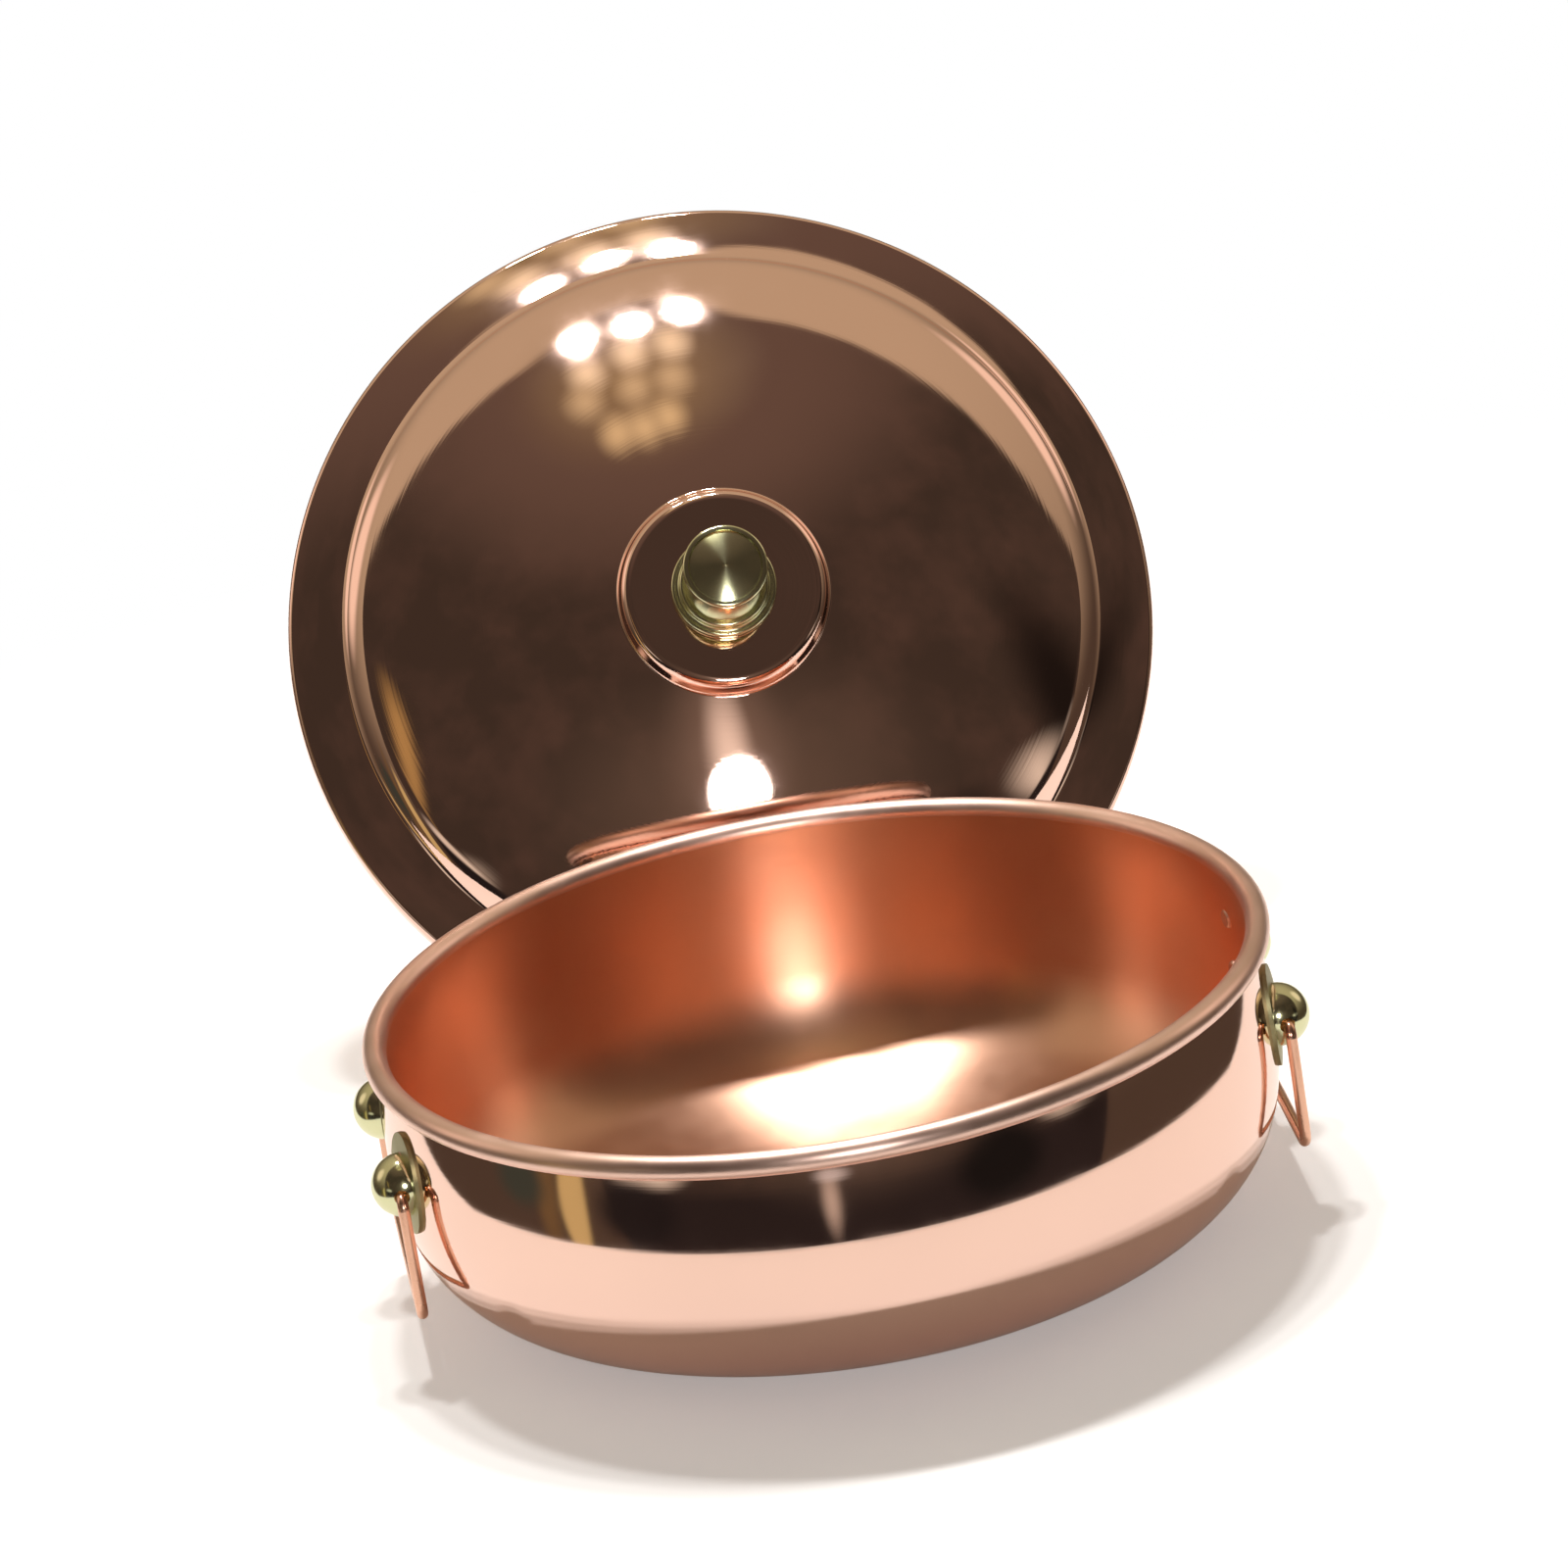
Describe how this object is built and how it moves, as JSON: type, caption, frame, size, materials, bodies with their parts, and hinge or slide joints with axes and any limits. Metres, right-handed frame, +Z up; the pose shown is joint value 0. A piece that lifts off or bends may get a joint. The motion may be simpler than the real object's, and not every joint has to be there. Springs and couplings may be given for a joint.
{
  "type": "hot pot",
  "caption": "Round copper hot pot with a rolled rim, swinging bail handles on half-ball lugs, and a domed lid with a turned brass knob, set down behind it.",
  "frame": {"origin": "centre of the pan's flat base, on the surface it stands on", "axes": "+Z up, +X to the handle on the right in the picture, +Y to the back, where the lid stands"},
  "size_m": [0.3158, 0.4891, 0.26],
  "materials": {
    "copper": "polished copper outside, satin inside the pan",
    "bail_copper": "polished copper wire",
    "rivet_copper": "satin copper",
    "brass": "polished turned brass",
    "iron_wire": "drawn wire, hidden in the rim"
  },
  "bodies": {
    "pot": {"pot_body": "copper", "rim_wire": "iron_wire", "left_front_lug_plate": "brass", "left_front_lug_ball": "brass", "left_front_rivets": "rivet_copper", "left_back_lug_plate": "brass", "left_back_lug_ball": "brass", "left_back_rivets": "rivet_copper", "right_front_lug_plate": "brass", "right_front_lug_ball": "brass", "right_front_rivets": "rivet_copper", "right_back_lug_plate": "brass", "right_back_lug_ball": "brass", "right_back_rivets": "rivet_copper"},
    "left_bail": {"left_bail": "bail_copper"},
    "right_bail": {"right_bail": "bail_copper"},
    "lid": {"lid_shell": "copper", "knob": "brass", "knob_screw": "brass", "knob_washer": "brass"}
  },
  "joints": [
    {"name": "left_bail_hinge", "type": "hinge", "parent": "pot", "child": "left_bail", "pos_m": [-0.1466, 0, 0.0635], "axis": [0, 1, 0], "range_deg": [-6, 183]},
    {"name": "right_bail_hinge", "type": "hinge", "parent": "pot", "child": "right_bail", "pos_m": [0.1466, 0, 0.0635], "axis": [0, -1, 0], "range_deg": [-6, 183]},
    {"name": "lid_lift", "type": "slide", "parent": "pot", "child": "lid", "axis": [0, 0, 1], "range_m": [0, 0.25]}
  ]
}
